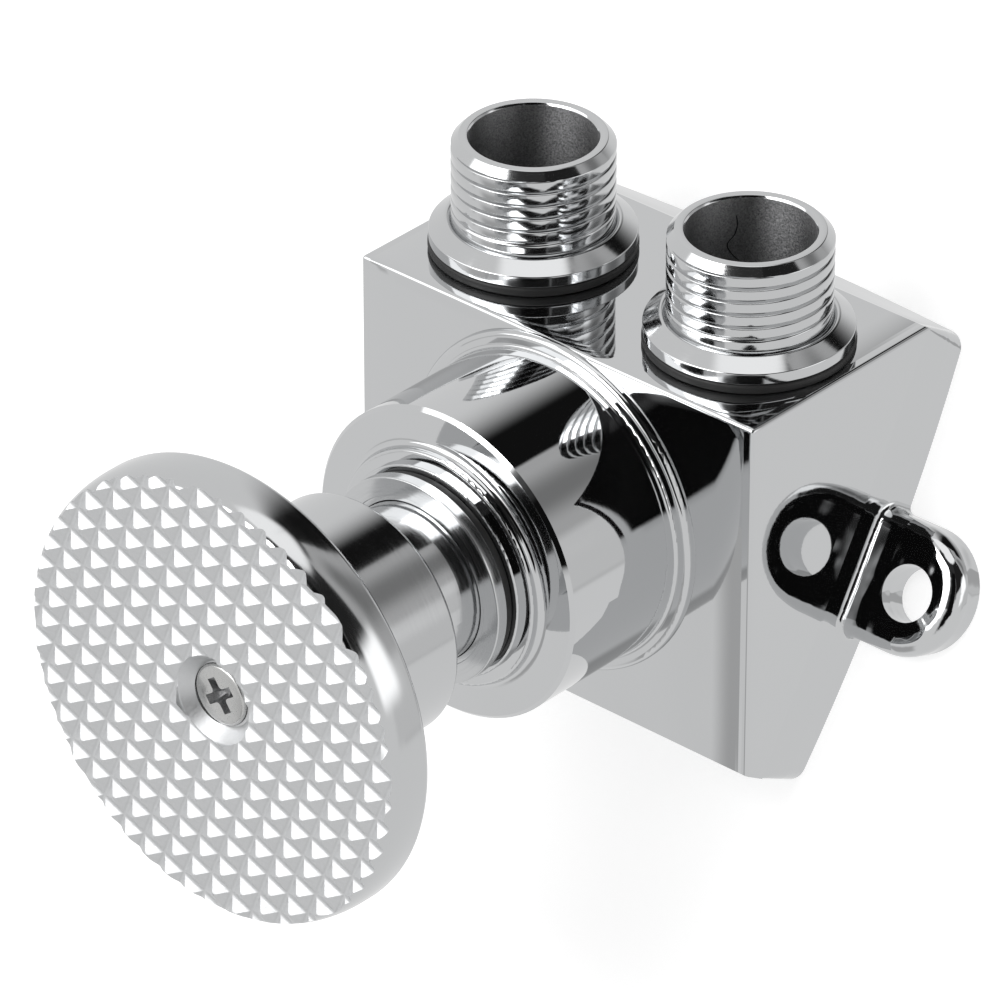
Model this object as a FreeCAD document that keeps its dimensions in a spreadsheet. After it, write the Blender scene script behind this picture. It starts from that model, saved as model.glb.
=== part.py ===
import FreeCAD, Part
import math
import os
import Sketcher
from types import SimpleNamespace

# Foot pedal valve: a wedge-shaped casting with two ears is screwed to the floor, its barrel
# carries a sprung plunger with a knurled pedal, and two nipples lead the water in and out.
#
# Every piece is drawn on the valve's own axes. Y runs along the barrel, from the pedal into
# the casting, Z runs up along the nipples and X to the right. The origin is on the barrel's
# axis, in the plane of the casting's front face. The placement then tilts the valve on to its
# mounting face, which is the plane Z = 0 of the finished part, with the origin midway
# between the two ear holes.

# Driving sizes in millimetres, angles in degrees
SIZES = {
    # wedge-shaped casting
    "mount_tilt": 31.0,
    "mount_reach": 30.0,
    "body_width": 64.8,
    "axis_drop": 23.0,
    "axis_height": 27.4,
    "crease_rise": 0.76,
    "plate_height": 8.0,
    "plate_corner": 2.4,
    "waist_corner": 0.3,
    "plate_spread": 0.3,
    "side_bulge": 1.2,
    "end_bulge": 0.7,
    "edge_round": 0.5,
    # ears
    "ear_drop": 10.4,
    "ear_hole_spread": 40.8,
    "ear_hole": 7.4,
    "ear_end_radius": 8.8,
    "ear_end_inset": 1.4,
    "ear_foot_trim": 0.6,
    "ear_thickness": 4.8,
    "ear_root_radius": 2.5,
    "ear_edge_round": 2.3,
    "ear_root_fillet": 0.9,
    # barrel, turned on the casting
    "barrel_diameter": 42.4,
    "barrel_length": 20.3,
    "barrel_edge": 0.5,
    "collar_diameter": 46.4,
    "collar_height": 1.0,
    "collar_round": 0.8,
    "collar_fillet": 0.5,
    "boss_diameter": 32.0,
    "boss_height": 1.7,
    "boss_root_radius": 1.0,
    "boss_edge": 0.4,
    "lip_diameter": 28.8,
    "lip_height": 0.9,
    "lip_edge": 0.25,
    # bores along the barrel's axis
    "mouth_diameter": 25.0,
    "mouth_depth": 29.0,
    "chamber_diameter": 24.0,
    "outlet_floor": 8.0,
    "inlet_diameter": 17.0,
    "inlet_floor": 21.7,
    "tail_diameter": 8.8,
    "tail_depth": 3.2,
    # wells under the nipples and the ways between wells and chambers
    "nipple_spread": 17.9,
    "nipple_setback": 16.4,
    "spigot_diameter": 16.6,
    "spigot_depth": 9.5,
    "well_diameter": 13.2,
    "well_below_axis": 4.5,
    "inlet_way_diameter": 7.6,
    "outlet_way_diameter": 5.6,
    "outlet_way_setback": 5.2,
    # nipples
    "thread_diameter": 20.955,
    "nipple_height": 16.0,
    "nipple_bore": 16.4,
    "nipple_mouth": 16.8,
    "nipple_mouth_depth": 0.3,
    "nipple_tip_diameter": 19.1,
    "nipple_tip_height": 1.1,
    "flange_diameter": 26.6,
    "flange_thickness": 1.5,
    "flange_cone": 1.8,
    "cone_top_diameter": 21.6,
    "relief_diameter": 18.6,
    "relief_height": 0.7,
    "spigot_length": 9.0,
    "spigot_bore": 12.4,
    "bore_step_height": 4.0,
    # rubber rings under the nipples
    "seal_thickness": 1.35,
    "seal_inner_diameter": 21.6,
    "seal_outer_diameter": 26.9,
    # gland bush and its rubber ring
    "gland_seal_thickness": 1.4,
    "gland_seal_inner": 25.4,
    "gland_seal_outer": 28.3,
    "gland_flange_diameter": 28.0,
    "gland_flange_thickness": 1.7,
    "gland_flange_slope": 0.6,
    "gland_face_diameter": 24.6,
    "gland_face_step": 0.25,
    "gland_length": 18.0,
    "thread_clearance": 0.03,
    # plunger
    "plunger_diameter": 21.5,
    "guide_clearance": 0.06,
    "neck_length": 9.3,
    "hub_socket": 8.0,
    "hub_clearance": 0.05,
    "plunger_tail": 12.0,
    "ring_groove_width": 2.4,
    "ring_groove_floor": 18.0,
    "ring_groove_first": 4.4,
    "ring_groove_pitch": 3.9,
    "ring_section": 1.76,
    "rod_diameter": 7.0,
    "rod_thread_diameter": 4.0,
    "rod_thread_length": 4.9,
    "plunger_edge": 0.4,
    # pedal
    "pedal_diameter": 61.0,
    "pedal_front_diameter": 60.2,
    "pedal_thickness": 7.0,
    "pedal_edge": 0.9,
    "hub_diameter": 32.2,
    "hub_length": 21.1,
    "hub_edge": 0.5,
    "hub_root_radius": 1.2,
    "knurl_pitch": 3.61,
    "knurl_depth": 0.9,
    "knurl_tip": 0.3,
    "knurl_valley": 0.4,
    "knurl_angle": 22.0,
    "dish_diameter": 11.7,
    "dish_depth": 1.6,
    "dish_offset_x": 0.5,
    "dish_offset_z": 0.35,
    # pedal screw
    "screw_head_diameter": 8.2,
    "screw_head_height": 1.75,
    "screw_head_edge": 0.35,
    "screw_recess_depth": 4.2,
    "screw_recess_diameter": 8.6,
    "screw_diameter": 5.0,
    "screw_length": 22.0,
    "screw_hole_spare": 2.0,
    "cross_width": 1.3,
    "cross_length": 4.8,
    "cross_depth": 1.5,
    "cross_angle": 35.0,
    # return spring and its washer
    "spring_wire": 1.6,
    "spring_diameter": 15.4,
    "spring_turns": 6.0,
    "washer_thickness": 0.8,
    "washer_diameter": 18.6,
    "washer_clearance": 0.2,
    # valve seat
    "seat_thread_diameter": 17.8,
    "seat_flange_diameter": 21.4,
    "seat_flange_thickness": 1.5,
    "seat_length": 3.0,
    "seat_lip_height": 1.0,
    "seat_lip_thickness": 0.7,
    "seat_bore": 10.4,
    "seat_slot": 2.0,
    "seat_slot_depth": 0.8,
    "gasket_thickness": 0.5,
    # poppet
    "poppet_disc_diameter": 13.2,
    "poppet_disc_thickness": 2.0,
    "poppet_cup_diameter": 15.0,
    "poppet_cup_thickness": 3.0,
    "poppet_cup_setback": 0.5,
    "poppet_clearance": 0.05,
    "poppet_washer_diameter": 8.0,
    "poppet_washer_thickness": 0.5,
    "nut_width": 6.5,
    "nut_height": 2.4,
}


class Size:
    """A number together with the sheet formula that it comes from."""

    def __init__(self, number, formula):
        self.number = float(number)
        self.formula = formula

    def __add__(self, other):
        other = as_size(other)
        return Size(self.number + other.number, f"({self.formula} + {other.formula})")

    def __sub__(self, other):
        other = as_size(other)
        return Size(self.number - other.number, f"({self.formula} - {other.formula})")

    def __mul__(self, other):
        other = as_size(other)
        return Size(self.number * other.number, f"({self.formula} * {other.formula})")

    def __truediv__(self, other):
        other = as_size(other)
        return Size(self.number / other.number, f"({self.formula} / {other.formula})")

    def __neg__(self):
        return Size(-self.number, f"(-1 * {self.formula})")


def as_size(value):
    return value if isinstance(value, Size) else Size(value, repr(float(value)))


def sine(angle):
    return Size(math.sin(math.radians(angle.number)), f"sin({angle.formula})")


def cosine(angle):
    return Size(math.cos(math.radians(angle.number)), f"cos({angle.formula})")


ZERO = as_size(0)
LEAST_CHANGE = 0.1  # cubic millimetres
RUBBER_ROUNDING = 0.4  # edge radius as a share of a rubber ring's thickness

doc = FreeCAD.newDocument("foot_pedal_valve")
sheet = doc.addObject("Spreadsheet::Sheet", "Sizes")
for row, (name, number) in enumerate(SIZES.items(), start=1):
    sheet.set(f"A{row}", name)
    sheet.set(f"B{row}", str(number))
    sheet.setAlias(f"B{row}", name)
doc.recompute()
size = SimpleNamespace(**{name: Size(number, f"Sizes.{name}") for name, number in SIZES.items()})


# Sketches

def origin_plane(body, role):
    return next(item for item in body.Origin.OriginFeatures if item.Role == role)


def bind(target, path, value):
    """Ties one property of an object to the sheet."""
    target.setExpression(path, as_size(value).formula)


def new_sketch(body, name, plane="XY_Plane", shift=(0, 0, 0), turn_axis=None, turn=None):
    """Sketch on an origin plane, shifted and turned within that plane's own axes."""
    sketch = body.newObject("Sketcher::SketchObject", name)
    sketch.AttachmentSupport = (origin_plane(body, plane), "")
    sketch.MapMode = "FlatFace"
    shift = [as_size(value) for value in shift]
    base = FreeCAD.Vector(*[value.number for value in shift])
    axis = FreeCAD.Vector(*(turn_axis or (0, 0, 1)))
    angle = as_size(turn or 0)
    sketch.AttachmentOffset = FreeCAD.Placement(base, FreeCAD.Rotation(axis, angle.number))
    for letter, value in zip("xyz", shift):
        bind(sketch, f"AttachmentOffset.Base.{letter}", value)
    if turn is not None:
        bind(sketch, "AttachmentOffset.Rotation.Angle", angle)
    sketch.Visibility = False
    return sketch


def pin_point(sketch, geometry, end, point):
    """Fixes one end of a line or arc at a point given by two sizes."""
    for kind, value in zip(("DistanceX", "DistanceY"), point):
        value = as_size(value)
        index = sketch.addConstraint(Sketcher.Constraint(kind, geometry, end, value.number))
        sketch.setExpression(f"Constraints[{index}]", value.formula)


def arc_between(start, end, radius, turn):
    """Minor arc through two points. turn is 1 anticlockwise and -1 clockwise from start to end."""
    first, last = (start, end) if turn > 0 else (end, start)
    middle_x, middle_y = (first[0] + last[0]) / 2, (first[1] + last[1]) / 2
    run_x, run_y = last[0] - first[0], last[1] - first[1]
    half = math.hypot(run_x, run_y) / 2
    rise = math.sqrt(max(radius * radius - half * half, 0))
    centre_x = middle_x - rise * run_y / (2 * half)
    centre_y = middle_y + rise * run_x / (2 * half)
    angle_first = math.atan2(first[1] - centre_y, first[0] - centre_x)
    angle_last = math.atan2(last[1] - centre_y, last[0] - centre_x)
    circle = Part.Circle(FreeCAD.Vector(centre_x, centre_y), FreeCAD.Vector(0, 0, 1), radius)
    return Part.ArcOfCircle(circle, angle_first, angle_last)


def draw_loop(sketch, points):
    """Closed outline. Each point is (x, y), or (x, y, radius, turn) where an arc leads on from it."""
    first_index = sketch.GeometryCount
    corners = [tuple(as_size(value) for value in point[:2]) for point in points]
    ends = []
    for number, point in enumerate(points):
        start = [value.number for value in corners[number]]
        end = [value.number for value in corners[(number + 1) % len(points)]]
        if len(point) == 2:
            line = Part.LineSegment(FreeCAD.Vector(*start), FreeCAD.Vector(*end))
            sketch.addGeometry(line, False)
            ends.append((1, 2))
        else:
            radius, turn = as_size(point[2]), point[3]
            sketch.addGeometry(arc_between(start, end, radius.number, turn), False)
            ends.append((1, 2) if turn > 0 else (2, 1))
    for number, point in enumerate(points):
        this = first_index + number
        following = first_index + (number + 1) % len(points)
        meeting = ends[(number + 1) % len(points)][0]
        sketch.addConstraint(Sketcher.Constraint("Coincident", this, ends[number][1], following, meeting))
        pin_point(sketch, this, ends[number][0], corners[number])
        if len(point) == 4:
            radius = as_size(point[2])
            index = sketch.addConstraint(Sketcher.Constraint("Radius", this, radius.number))
            sketch.setExpression(f"Constraints[{index}]", radius.formula)


def draw_circle(sketch, x, y, diameter):
    x, y, diameter = as_size(x), as_size(y), as_size(diameter)
    centre = FreeCAD.Vector(x.number, y.number)
    circle = Part.Circle(centre, FreeCAD.Vector(0, 0, 1), diameter.number / 2)
    index = sketch.addGeometry(circle, False)
    pin_point(sketch, index, 3, (x, y))
    constraint = sketch.addConstraint(Sketcher.Constraint("Diameter", index, diameter.number))
    sketch.setExpression(f"Constraints[{constraint}]", diameter.formula)


# Features

def new_body(name):
    body = doc.addObject("PartDesign::Body", name)
    body.Label = name
    return body


def checked_volume(body):
    doc.recompute()
    return body.Shape.Volume if body.Tip else 0.0


def check_change(name, change, cut):
    """A feature that points away from its body would change nothing and give no error."""
    if (-change if cut else change) < LEAST_CHANGE:
        raise RuntimeError(f"{name} changed nothing")


def turn_profile(body, name, points, plane="XY_Plane", cut=False, shift=(0, 0, 0)):
    """Revolves a half section about the sketch's vertical axis. Points are (radius, station)."""
    before = checked_volume(body)
    sketch = new_sketch(body, name + "_section", plane, shift)
    draw_loop(sketch, points)
    feature = body.newObject("PartDesign::Groove" if cut else "PartDesign::Revolution", name)
    feature.Profile = sketch
    feature.ReferenceAxis = (sketch, ["V_Axis"])
    feature.Angle = 360
    check_change(name, checked_volume(body) - before, cut)
    return feature


def extrude(body, name, sketch, length=None, cut=False, symmetric=False, reverse=False):
    """Pads or pockets a sketch. Without a length a pocket goes through everything both ways."""
    before = checked_volume(body)
    feature = body.newObject("PartDesign::Pocket" if cut else "PartDesign::Pad", name)
    feature.Profile = sketch
    if symmetric:
        feature.SideType = "Symmetric"
    if length is None:
        feature.Type = "ThroughAll"
    else:
        bind(feature, "Length", length)
    feature.Reversed = reverse
    check_change(name, checked_volume(body) - before, cut)
    return feature


def join_outlines(body, name, first, second):
    """Straight-sided solid between two outlines with the same number of corners."""
    before = checked_volume(body)
    loft = body.newObject("PartDesign::AdditiveLoft", name)
    loft.Profile = first
    loft.Sections = [second]
    loft.Ruled = True
    check_change(name, checked_volume(body) - before, False)


def soften(body, name, kind, amount, chosen):
    """Fillet or chamfer on the edges of the body's shape that the test picks."""
    doc.recompute()
    base = body.Tip
    picked = [f"Edge{number}" for number, edge in enumerate(base.Shape.Edges, start=1) if chosen(edge)]
    if not picked:
        raise RuntimeError(f"{name} found no edge")
    feature = body.newObject("PartDesign::" + kind, name)
    feature.Base = (base, picked)
    bind(feature, "Radius" if kind == "Fillet" else "Size", amount)
    doc.recompute()
    return feature


# Stations along the barrel's axis, from the pedal to the casting's rear

barrel_face = -size.barrel_length
boss_face = barrel_face - size.boss_height
lip_face = boss_face - size.lip_height
gland_back = lip_face - size.gland_seal_thickness
gland_face = gland_back - size.gland_flange_thickness
hub_end = gland_face - size.neck_length
disc_back = hub_end - size.hub_length
pedal_face = disc_back - size.pedal_thickness
screw_seat = pedal_face + size.screw_recess_depth
plunger_start = hub_end - size.hub_socket
plunger_end = gland_face + size.plunger_tail
gland_end = gland_back + size.gland_length
seat_shoulder = size.outlet_floor
seat_flange_back = seat_shoulder - size.gasket_thickness
seat_front = seat_flange_back - size.seat_flange_thickness
seat_back = seat_shoulder + size.seat_length - size.gasket_thickness
seat_face = seat_back + size.seat_lip_height
rod_shoulder = seat_face + size.poppet_disc_thickness
cup_back = seat_face + size.poppet_cup_setback + size.poppet_cup_thickness
poppet_washer_back = cup_back + size.poppet_washer_thickness
rod_end = rod_shoulder + size.rod_thread_length
well_floor = -size.well_below_axis

# Places on the mounting face. Along is measured up the slope from the ear holes, height from the face.

slope_sine = sine(size.mount_tilt)
slope_cosine = cosine(size.mount_tilt)


def along_slope(y, z):
    return (as_size(y) - size.mount_reach) * slope_sine + as_size(z) * slope_cosine + size.ear_drop


def above_mount(y, z):
    return as_size(z) * slope_sine - (as_size(y) - size.mount_reach) * slope_cosine


def valve_y(along, height):
    return size.mount_reach + (as_size(along) - size.ear_drop) * slope_sine - as_size(height) * slope_cosine


def valve_z(along, height):
    return (as_size(along) - size.ear_drop) * slope_cosine + as_size(height) * slope_sine


top_z = size.axis_drop
bottom_z = -size.axis_height

# the crease between the top face and the foot's end lies a little above the foot
crease_height = size.plate_height + size.crease_rise
crease_y = size.mount_reach + (top_z * slope_sine - crease_height) / slope_cosine
plate_top = along_slope(crease_y, top_z)
plate_bottom = along_slope(ZERO, bottom_z)


def mount_sketch(body, name, height):
    """Sketch parallel to the mounting face, X to the right and Y up the slope, from the ear holes."""
    shift = (ZERO, valve_y(ZERO, height), valve_z(ZERO, height))
    return new_sketch(body, name, "XY_Plane", shift, (1, 0, 0), as_size(90) - size.mount_tilt)


def bow_radius(chord, bulge):
    """Radius of an arc with this chord that bulges by this much."""
    return chord * chord / (bulge * 8) + bulge / 2


# The casting

def plate_outline(sketch, half_width, corner, side_bulge=None, end_bulge=None):
    """Rectangle with round corners, whose sides are straight or bowed outwards."""
    bottom, top = plate_bottom, plate_top
    inner = half_width - corner
    side_run = top - bottom - corner * 2
    end_run = inner * 2
    side_arc = () if side_bulge is None else (bow_radius(side_run, side_bulge), 1)
    end_arc = () if end_bulge is None else (bow_radius(end_run, end_bulge), 1)
    draw_loop(sketch, [
        (-inner, bottom, *end_arc),
        (inner, bottom, corner, 1),
        (half_width, bottom + corner, *side_arc),
        (half_width, top - corner, corner, 1),
        (inner, top, *end_arc),
        (-inner, top, corner, 1),
        (-half_width, top - corner, *side_arc),
        (-half_width, bottom + corner, corner, 1),
    ])


def ear_outline(sketch, side, trim=ZERO):
    """One ear, from inside the casting to its round end. side is 1 on the right and -1 on the left.

    The trim makes the round end smaller and leaves its tip and upper side in their places.
    """
    inside = size.body_width / 2 - size.ear_root_radius * 2
    wall = size.body_width / 2
    root = wall + size.ear_root_radius
    radius = size.ear_end_radius - trim
    centre = size.ear_hole_spread - size.ear_end_inset + trim
    tip = centre + radius
    lower = trim - radius
    upper = trim + radius
    right = [
        (inside, lower - size.ear_root_radius),
        (wall, lower - size.ear_root_radius, size.ear_root_radius, -1),
        (root, lower),
        (centre, lower, radius, 1),
        (tip, trim, radius, 1),
        (centre, upper),
        (root, upper, size.ear_root_radius, -1),
        (wall, upper + size.ear_root_radius),
        (inside, upper + size.ear_root_radius),
    ]
    if side > 0:
        draw_loop(sketch, right)
        return
    mirrored = []
    for number in range(len(right)):
        start = right[-number % len(right)]
        before = right[(-number - 1) % len(right)]
        arc = before[2:]
        mirrored.append((-as_size(start[0]), start[1], *arc))
    draw_loop(sketch, mirrored)


def near(value, target, slack=0.05):
    return abs(value - target) < slack


def make_valve_body():
    body = new_body("valve_body")
    half_width = size.body_width / 2

    # the foot of the wedge spreads and rounds off towards the mounting face
    foot = mount_sketch(body, "foot_outline", ZERO)
    plate_outline(foot, half_width + size.plate_spread, size.plate_corner, size.side_bulge, size.end_bulge)
    waist = mount_sketch(body, "waist_outline", size.plate_height)
    plate_outline(waist, half_width, size.waist_corner)
    join_outlines(body, "foot_plate", foot, waist)

    # square wedge above it, between the front face and the top face
    wedge = new_sketch(body, "wedge_profile", "YZ_Plane")
    draw_loop(wedge, [
        (ZERO, bottom_z),
        (valve_y(plate_bottom, size.plate_height), valve_z(plate_bottom, size.plate_height)),
        (valve_y(plate_top, size.plate_height), valve_z(plate_top, size.plate_height)),
        (crease_y, top_z),
        (ZERO, top_z),
    ])
    extrude(body, "wedge", wedge, size.body_width, symmetric=True)

    def crisp_edge(edge):
        box = edge.BoundBox
        front = near(box.YMin, 0) and near(box.YMax, 0)
        side = near(abs(box.XMin), half_width.number) and near(box.XMax, box.XMin)
        top = near(box.ZMin, top_z.number) and near(box.ZMax, top_z.number)
        return (front and (side or top)) or (side and top)

    soften(body, "wedge_edges", "Fillet", size.edge_round, crisp_edge)

    # ears for the floor screws, whose lower sides draw in towards the mounting face
    for side, name in ((-1, "left_ear"), (1, "right_ear")):
        sole = mount_sketch(body, name + "_sole", ZERO)
        ear_outline(sole, side, size.ear_foot_trim)
        top = mount_sketch(body, name + "_top", size.ear_thickness)
        ear_outline(top, side)
        join_outlines(body, name, sole, top)

    def on_ear_top(edge):
        heights = [above_mount(vertex.Y, vertex.Z).number for vertex in edge.Vertexes]
        return all(near(height, size.ear_thickness.number) for height in heights)

    def ear_rim(edge):
        box = edge.BoundBox
        inner_end = min(abs(box.XMin), abs(box.XMax))
        return on_ear_top(edge) and inner_end > (half_width + size.ear_root_radius).number - 0.1

    def ear_root(edge):
        box = edge.BoundBox
        outer_end = max(abs(box.XMin), abs(box.XMax))
        return on_ear_top(edge) and outer_end < (half_width + size.plate_spread + size.side_bulge).number

    soften(body, "ear_edges", "Fillet", size.ear_edge_round, ear_rim)
    soften(body, "ear_roots", "Fillet", size.ear_root_fillet, ear_root)

    # barrel with its root ring, front boss and lip
    collar_radius = size.collar_diameter / 2
    barrel_radius = size.barrel_diameter / 2
    boss_radius = size.boss_diameter / 2
    lip_radius = size.lip_diameter / 2
    collar_front = -size.collar_height
    barrel_root = size.plate_height / 2
    turn_profile(body, "barrel", [
        (ZERO, barrel_root),
        (collar_radius - size.collar_round, barrel_root),
        (collar_radius - size.collar_round, ZERO),
        (collar_radius, ZERO),
        (collar_radius, collar_front + size.collar_round, size.collar_round, -1),
        (collar_radius - size.collar_round, collar_front),
        (barrel_radius + size.collar_fillet, collar_front, size.collar_fillet, 1),
        (barrel_radius, collar_front - size.collar_fillet),
        (barrel_radius, barrel_face + size.barrel_edge),
        (barrel_radius - size.barrel_edge, barrel_face),
        (boss_radius + size.boss_root_radius, barrel_face, size.boss_root_radius, 1),
        (boss_radius, barrel_face - size.boss_root_radius),
        (boss_radius, boss_face + size.boss_edge, size.boss_edge, -1),
        (boss_radius - size.boss_edge, boss_face),
        (lip_radius, boss_face),
        (lip_radius, lip_face + size.lip_edge, size.lip_edge, -1),
        (lip_radius - size.lip_edge, lip_face),
        (ZERO, lip_face),
    ])

    # stepped bore from the mouth to the space behind the poppet
    mouth_radius = size.mouth_diameter / 2
    chamber_radius = size.chamber_diameter / 2
    mouth_end = lip_face + size.mouth_depth
    seat_radius = size.seat_thread_diameter / 2 + size.thread_clearance
    inlet_radius = size.inlet_diameter / 2
    tail_radius = size.tail_diameter / 2
    tail_floor = size.inlet_floor + size.tail_depth
    turn_profile(body, "main_bore", [
        (ZERO, lip_face),
        (mouth_radius + size.thread_clearance, lip_face),
        (mouth_radius + size.thread_clearance, mouth_end),
        (chamber_radius, mouth_end),
        (chamber_radius, seat_shoulder),
        (seat_radius, seat_shoulder),
        (seat_radius, seat_back),
        (inlet_radius, seat_back),
        (inlet_radius, size.inlet_floor),
        (tail_radius, size.inlet_floor),
        (tail_radius, tail_floor),
        (ZERO, tail_floor),
    ], cut=True)

    # wells under the nipples
    spigots = new_sketch(body, "spigot_holes", "XY_Plane", (0, 0, top_z))
    wells = new_sketch(body, "well_holes", "XY_Plane", (0, 0, top_z))
    for side in (-1, 1):
        place = (size.nipple_spread * side, size.nipple_setback)
        draw_circle(spigots, *place, size.spigot_diameter + size.thread_clearance * 2)
        draw_circle(wells, *place, size.well_diameter)
    extrude(body, "spigot_bores", spigots, size.spigot_depth, cut=True)
    extrude(body, "wells", wells, top_z - well_floor, cut=True)

    # left well to the space behind the seat, right well to the space before it
    inlet_way = new_sketch(body, "inlet_way_hole", "YZ_Plane")
    draw_circle(inlet_way, size.nipple_setback, ZERO, size.inlet_way_diameter)
    extrude(body, "inlet_way", inlet_way, size.nipple_spread, cut=True)
    outlet_way = new_sketch(body, "outlet_way_hole", "YZ_Plane")
    draw_circle(outlet_way, size.outlet_way_setback, ZERO, size.outlet_way_diameter)
    extrude(body, "outlet_way", outlet_way, size.nipple_spread, cut=True, reverse=True)
    link = new_sketch(body, "outlet_link_hole", "XZ_Plane", (0, 0, -size.outlet_way_setback))
    draw_circle(link, size.nipple_spread, ZERO, size.outlet_way_diameter)
    extrude(body, "outlet_link", link, size.nipple_setback - size.outlet_way_setback, cut=True)

    # screw holes through the ears
    holes = mount_sketch(body, "ear_holes", ZERO)
    for side in (-1, 1):
        draw_circle(holes, size.ear_hole_spread * side, ZERO, size.ear_hole)
    extrude(body, "ear_screw_holes", holes, size.ear_thickness * 2, cut=True, symmetric=True)
    return body


# Turned pieces on the barrel's axis

def make_gland_bush():
    body = new_body("gland_bush")
    bore = size.plunger_diameter / 2 + size.guide_clearance
    flange = size.gland_flange_diameter / 2
    face = size.gland_face_diameter / 2
    step = gland_face + size.gland_face_step
    turn_profile(body, "bush", [
        (bore, step),
        (face, step),
        (face, gland_face),
        (flange - size.gland_flange_slope, gland_face),
        (flange, gland_face + size.gland_flange_slope),
        (flange, gland_back),
        (size.mouth_diameter / 2, gland_back),
        (size.mouth_diameter / 2, gland_end),
        (bore, gland_end),
    ])


def make_ring(name, inner, outer, start, end, rounding=None):
    """Plain ring or washer on the barrel's axis, with round edges where rounding is given."""
    body = new_body(name)
    turn_profile(body, "ring", ring_section(inner / 2, outer / 2, start, end, rounding))
    return body


def ring_section(inner, outer, start, end, rounding=None):
    if rounding is None:
        return [(inner, start), (outer, start), (outer, end), (inner, end)]
    return [
        (inner + rounding, start),
        (outer - rounding, start, rounding, 1),
        (outer, start + rounding),
        (outer, end - rounding, rounding, 1),
        (outer - rounding, end),
        (inner + rounding, end, rounding, 1),
        (inner, end - rounding),
        (inner, start + rounding, rounding, 1),
    ]


def make_plunger():
    body = new_body("plunger")
    radius = size.plunger_diameter / 2
    groove = size.ring_groove_floor / 2
    rod = size.rod_diameter / 2
    thread = size.rod_thread_diameter / 2
    screw_hole = size.screw_diameter / 2 + size.thread_clearance
    hole_end = screw_seat + size.screw_length + size.screw_hole_spare
    first = gland_face + size.ring_groove_first
    second = first + size.ring_groove_pitch
    width = size.ring_groove_width
    turn_profile(body, "stem", [
        (screw_hole, plunger_start),
        (radius - size.plunger_edge, plunger_start),
        (radius, plunger_start + size.plunger_edge),
        (radius, first),
        (groove, first),
        (groove, first + width),
        (radius, first + width),
        (radius, second),
        (groove, second),
        (groove, second + width),
        (radius, second + width),
        (radius, plunger_end - size.plunger_edge),
        (radius - size.plunger_edge, plunger_end),
        (rod, plunger_end),
        (rod, rod_shoulder),
        (thread, rod_shoulder),
        (thread, rod_end),
        (ZERO, rod_end),
        (ZERO, hole_end),
        (screw_hole, hole_end),
    ])


def make_plunger_ring(name, turn_number):
    """Rubber ring in one of the plunger's grooves."""
    ring = doc.addObject("Part::Torus", name)
    ring.Label = name
    section = size.ring_section / 2
    bind(ring, "Radius1", size.ring_groove_floor / 2 + section + size.guide_clearance / 2)
    bind(ring, "Radius2", section)
    groove_start = gland_face + size.ring_groove_first + size.ring_groove_pitch * turn_number
    return ring, groove_start + size.ring_groove_width / 2


def make_seat_insert():
    body = new_body("seat_insert")
    bore = size.seat_bore / 2
    lip = bore + size.seat_lip_thickness
    thread = size.seat_thread_diameter / 2
    flange = size.seat_flange_diameter / 2
    turn_profile(body, "seat_ring", [
        (bore, seat_front),
        (flange, seat_front),
        (flange, seat_flange_back),
        (thread, seat_flange_back),
        (thread, seat_back),
        (lip, seat_back),
        (lip, seat_face),
        (bore, seat_face),
    ])
    slot = new_sketch(body, "slot_outline", "XZ_Plane", (0, 0, -seat_front))
    half = size.seat_slot / 2
    reach = size.seat_flange_diameter
    draw_loop(slot, [(-reach, -half), (reach, -half), (reach, half), (-reach, half)])
    extrude(body, "spanner_slot", slot, size.seat_slot_depth, cut=True)


def make_poppet_cup():
    body = new_body("poppet_cup")
    hole = size.rod_thread_diameter / 2 + size.poppet_clearance
    rim = size.poppet_disc_diameter / 2 + size.poppet_clearance
    outer = size.poppet_cup_diameter / 2
    turn_profile(body, "cup", [
        (hole, rod_shoulder),
        (rim, rod_shoulder),
        (rim, seat_face + size.poppet_cup_setback),
        (outer, seat_face + size.poppet_cup_setback),
        (outer, cup_back),
        (hole, cup_back),
    ])


def make_poppet_nut():
    body = new_body("poppet_nut")
    sketch = new_sketch(body, "nut_outline", "XZ_Plane", (0, 0, -poppet_washer_back))
    corner = size.nut_width / (sine(as_size(60)) * 2)
    corners = []
    for number in range(6):
        angle = as_size(60.0 * number)
        corners.append((corner * cosine(angle), corner * sine(angle)))
    draw_loop(sketch, corners)
    draw_circle(sketch, ZERO, ZERO, size.rod_thread_diameter + size.thread_clearance * 2)
    extrude(body, "nut", sketch, size.nut_height, reverse=True)


def make_return_spring():
    body = new_body("return_spring")
    wire = size.spring_wire / 2
    start = plunger_end + size.washer_thickness + wire
    end = seat_front - wire
    section = new_sketch(body, "wire_section", "XY_Plane")
    draw_circle(section, size.spring_diameter / 2, start, size.spring_wire)
    coil = body.newObject("PartDesign::AdditiveHelix", "coil")
    coil.Profile = section
    coil.ReferenceAxis = (section, ["V_Axis"])
    coil.Mode = "height-turns-angle"
    bind(coil, "Height", end - start)
    bind(coil, "Turns", size.spring_turns)
    doc.recompute()


# Pedal

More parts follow.
